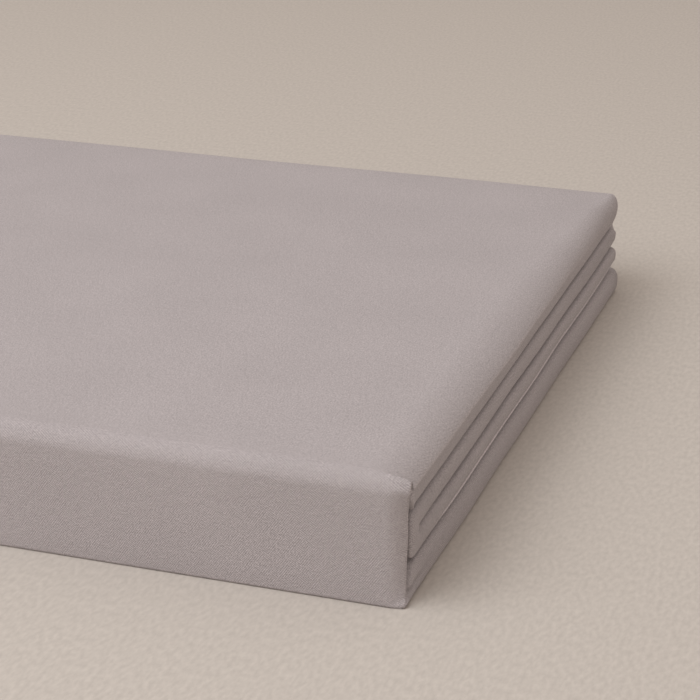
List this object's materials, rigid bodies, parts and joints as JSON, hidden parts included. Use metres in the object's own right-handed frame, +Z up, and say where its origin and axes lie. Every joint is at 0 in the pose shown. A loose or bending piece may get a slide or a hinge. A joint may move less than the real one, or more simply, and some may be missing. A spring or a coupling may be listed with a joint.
{
  "type": "folded flat sheet",
  "caption": "Large brushed-cotton bed sheet folded to a flat square packet: a smooth wrap along the front, and a stack of soft rounded folds down one side",
  "frame": {"origin": "the middle of the packet's footprint, on its underside", "axes": "+Z is up through the folded layers; -Y is the front, where the outer leaf wraps over; +X is the side where the lengthwise folds show as stacked bulges"},
  "size_m": [0.3458, 0.3448, 0.0475],
  "materials": {
    "folded_sheet": "matte brushed cotton twill, grey with a touch of mauve"
  },
  "bodies": {
    "root": {"folded_sheet": "folded_sheet"}
  },
  "joints": []
}
